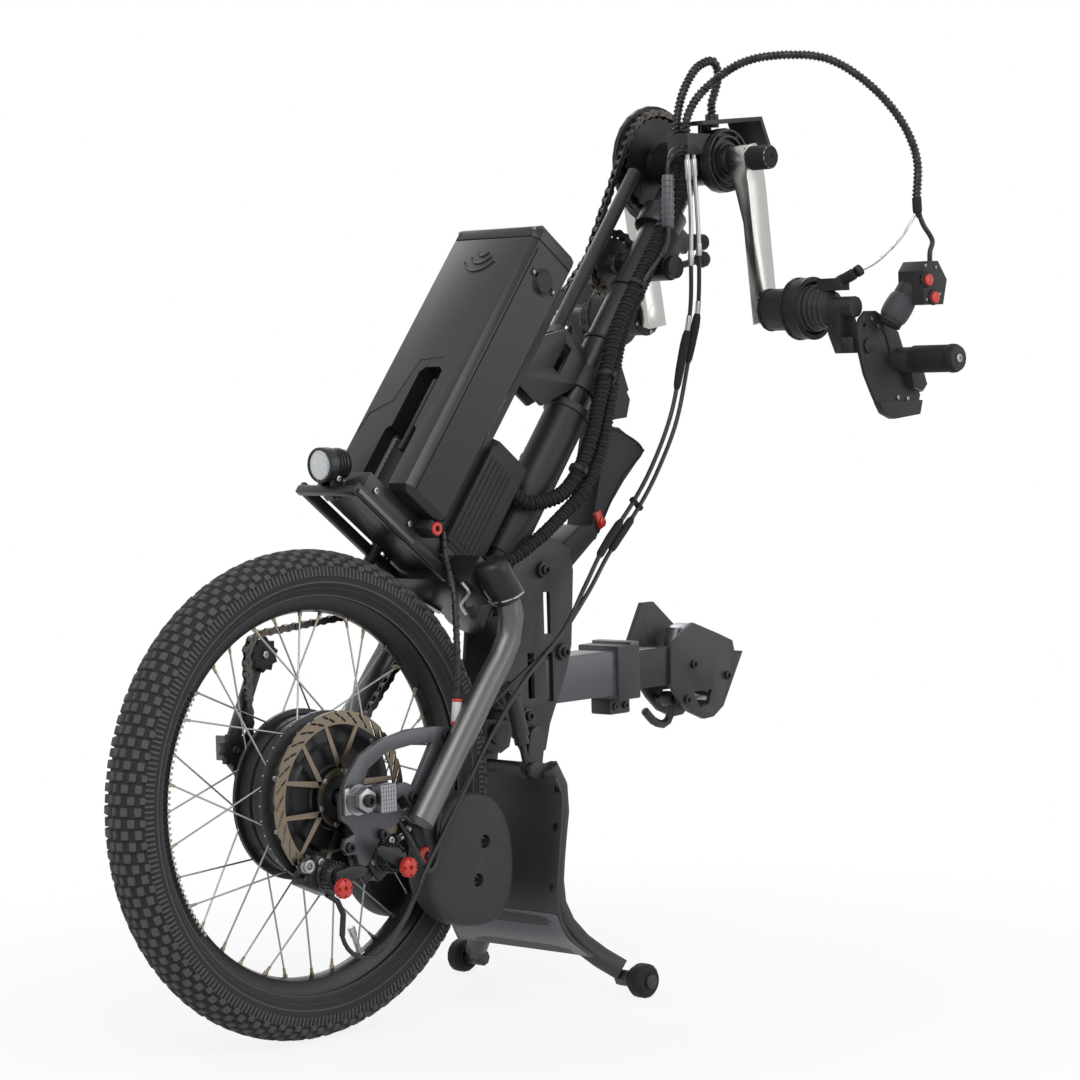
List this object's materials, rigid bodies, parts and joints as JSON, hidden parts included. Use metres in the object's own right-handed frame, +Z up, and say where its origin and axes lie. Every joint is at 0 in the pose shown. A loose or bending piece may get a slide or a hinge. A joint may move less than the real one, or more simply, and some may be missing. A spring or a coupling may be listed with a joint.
{
  "type": "clip-on handcycle",
  "caption": "Clip-on hybrid handcycle: a motor front wheel, leaning column with hand cranks and battery, a docking arm, and a folding parking stand on casters.",
  "frame": {"origin": "on the floor, under the middle of the whole box", "axes": "+X towards the wheelchair (rear), +Y to the chain side, +Z up"},
  "size_m": [1.0213, 0.62, 1.0364],
  "materials": {
    "tyre_rubber": "moulded rubber",
    "bright_alloy": "satin polished",
    "grey_alloy": "satin anodised",
    "black_alloy": "satin anodised",
    "steel": "ground and zinc plated",
    "black_steel": "satin powder coat",
    "ballast_paint": "matt powder coat",
    "black_plastic": "fine grain",
    "case_plastic": "satin",
    "black_rubber": "matt",
    "red_plastic": "gloss",
    "chromed": "polished"
  },
  "bodies": {
    "frame": {"head_tube": "black_steel", "frame_plate_left": "black_steel", "frame_plate_right": "black_steel", "rear_cover": "black_plastic", "dock_outer_tube": "grey_alloy"},
    "steering": {"fork_crown": "black_alloy", "fork_blade_left": "grey_alloy", "fork_blade_right": "grey_alloy", "dropout_plate_left": "grey_alloy", "dropout_plate_right": "grey_alloy", "caliper_front": "black_alloy", "caliper_rear": "black_alloy", "ballast_left": "ballast_paint", "ballast_right": "ballast_paint", "axle": "steel", "column_tube": "black_alloy", "column_clamp": "black_alloy", "column_bracket": "black_steel", "battery_case": "case_plastic", "battery_tray": "black_alloy", "controller_box": "black_plastic", "crank_housing": "black_alloy", "derailleur": "grey_alloy", "chain_lower": "steel", "chain_upper": "steel", "wiring_harness": "black_rubber", "brake_cables": "black_rubber", "cable_loop": "black_rubber", "cable_arch": "black_rubber"},
    "lamp": {"headlight": "black_plastic"},
    "front_wheel": {"tyre": "tyre_rubber", "wheel_rim": "black_alloy", "spokes": "steel", "hub_motor": "black_alloy", "brake_rotor": "steel"},
    "rear_cluster": {"cassette": "steel"},
    "middle_cluster": {"middle_sprocket": "steel"},
    "tension_pulley": {"jockey_tension": "black_plastic"},
    "guide_pulley": {"jockey_guide": "black_plastic"},
    "crankset": {"chainring": "black_alloy", "crank_left": "bright_alloy", "crank_right": "bright_alloy"},
    "left_grip": {"grip_left": "black_plastic", "cable_leads": "black_rubber"},
    "right_grip": {"grip_right": "black_plastic"},
    "left_handle": {"handle_left": "black_plastic"},
    "right_handle": {"handle_right": "black_plastic"},
    "lower_button": {"button_lower": "red_plastic"},
    "upper_button": {"button_upper": "red_plastic"},
    "column_lever": {"clamp_lever": "black_rubber"},
    "gear_lever": {"shift_lever": "black_plastic"},
    "dock_slide": {"dock_head": "black_steel"},
    "dock_hook": {"dock_latch": "steel"},
    "dock_lever": {"dock_release_lever": "black_steel"},
    "stand": {"stand_legs": "black_steel", "stand_plate": "black_steel"},
    "left_caster": {"caster_left": "black_rubber"},
    "right_caster": {"caster_right": "black_rubber"},
    "strut_outer": {"strut_cylinder": "black_steel"},
    "strut_inner": {"strut_rod": "chromed"}
  },
  "joints": [
    {"name": "steering", "type": "hinge", "parent": "frame", "child": "steering", "pos_m": [0.13057, 0, 0.6], "axis": [0.6157, 0, 0.788], "range_deg": [-25, 25], "deforming": ["brake_cables", "wiring_harness"]},
    {"name": "lamp_tilt", "type": "hinge", "parent": "steering", "child": "lamp", "pos_m": [-0.20343, 0, 0.566], "axis": [0, 1, 0], "range_deg": [-15, 5]},
    {"name": "wheel_spin", "type": "hinge", "parent": "steering", "child": "front_wheel", "pos_m": [-0.25643, 0, 0.25421], "axis": [0, 1, 0], "continuous": true},
    {"name": "crank_spin", "type": "hinge", "parent": "steering", "child": "crankset", "pos_m": [0.3793, 0, 0.91836], "axis": [0, 1, 0], "continuous": true, "deforming": ["cable_arch"]},
    {"name": "cassette_spin", "type": "hinge", "parent": "steering", "child": "rear_cluster", "pos_m": [-0.25643, 0, 0.25421], "axis": [0, 1, 0], "continuous": true},
    {"name": "middle_spin", "type": "hinge", "parent": "steering", "child": "middle_cluster", "pos_m": [0.28941, 0, 0.80331], "axis": [0, 1, 0], "continuous": true},
    {"name": "tension_spin", "type": "hinge", "parent": "steering", "child": "tension_pulley", "pos_m": [-0.27043, 0, 0.39921], "axis": [0, 1, 0], "continuous": true},
    {"name": "guide_spin", "type": "hinge", "parent": "steering", "child": "guide_pulley", "pos_m": [-0.31443, 0, 0.30421], "axis": [0, 1, 0], "continuous": true},
    {"name": "left_grip_spin", "type": "hinge", "parent": "crankset", "child": "left_grip", "pos_m": [0.40365, 0, 0.74506], "axis": [0, 1, 0], "continuous": true, "deforming": ["cable_leads"]},
    {"name": "right_grip_spin", "type": "hinge", "parent": "crankset", "child": "right_grip", "pos_m": [0.40365, 0, 0.74506], "axis": [0, 1, 0], "continuous": true},
    {"name": "left_handle_tilt", "type": "hinge", "parent": "left_grip", "child": "left_handle", "pos_m": [0.41565, 0, 0.70106], "axis": [0, 1, 0], "range_deg": [-15, 15], "deforming": ["cable_leads"]},
    {"name": "right_handle_tilt", "type": "hinge", "parent": "right_grip", "child": "right_handle", "pos_m": [0.41565, 0, 0.70106], "axis": [0, 1, 0], "range_deg": [-15, 15]},
    {"name": "lower_button_press", "type": "slide", "parent": "left_handle", "child": "lower_button", "axis": [0, 1, 0], "range_m": [0, 0.0025], "stiffness_N_per_m": 400, "springref_m": -0.001},
    {"name": "upper_button_press", "type": "slide", "parent": "left_handle", "child": "upper_button", "axis": [0, 1, 0], "range_m": [0, 0.0025], "stiffness_N_per_m": 400, "springref_m": -0.001},
    {"name": "column_lever_turn", "type": "hinge", "parent": "steering", "child": "column_lever", "pos_m": [0.35349, 0, 0.82685], "axis": [0, 1, 0], "range_deg": [0, 60]},
    {"name": "gear_lever_turn", "type": "hinge", "parent": "steering", "child": "gear_lever", "pos_m": [0.30448, 0, 0.79661], "axis": [0, 1, 0], "range_deg": [-25, 25]},
    {"name": "dock_extend", "type": "slide", "parent": "frame", "child": "dock_slide", "axis": [1, 0, 0], "range_m": [-0.03, 0.06]},
    {"name": "hook_turn", "type": "hinge", "parent": "dock_slide", "child": "dock_hook", "pos_m": [0.33057, 0, 0.34], "axis": [0, 1, 0], "range_deg": [0, 25], "stiffness_Nm_per_rad": 1.5, "springref_deg": -11.46},
    {"name": "release_pull", "type": "hinge", "parent": "dock_slide", "child": "dock_lever", "pos_m": [0.31757, 0, 0.3], "axis": [0, 1, 0], "range_deg": [0, 12]},
    {"name": "stand_fold", "type": "hinge", "parent": "frame", "child": "stand", "pos_m": [0.05557, 0, 0.284], "axis": [0, 1, 0], "range_deg": [-60, 0]},
    {"name": "left_caster_spin", "type": "hinge", "parent": "stand", "child": "left_caster", "pos_m": [0.10557, 0, 0.01844], "axis": [0, 1, 0], "continuous": true},
    {"name": "right_caster_spin", "type": "hinge", "parent": "stand", "child": "right_caster", "pos_m": [0.10557, 0, 0.01844], "axis": [0, 1, 0], "continuous": true},
    {"name": "strut_swing", "type": "hinge", "parent": "frame", "child": "strut_outer", "pos_m": [0.00657, 0, 0.343], "axis": [0, 1, 0], "range_deg": [-19, 0]},
    {"name": "strut_extend", "type": "slide", "parent": "strut_outer", "child": "strut_inner", "axis": [0.235, 0, -0.972], "range_m": [0, 0.0257]}
  ],
  "couplings": [
    {"joint": "middle_spin", "follows": "crank_spin", "ratio": 1.6667},
    {"joint": "cassette_spin", "follows": "crank_spin", "ratio": 1.25},
    {"joint": "tension_spin", "follows": "crank_spin", "ratio": 3},
    {"joint": "guide_spin", "follows": "crank_spin", "ratio": -3},
    {"joint": "release_pull", "follows": "hook_turn", "ratio": 0.48},
    {"joint": "strut_swing", "follows": "stand_fold", "ratio": 0.3133},
    {"joint": "strut_extend", "follows": "stand_fold", "m_per_rad": -0.024446}
  ]
}
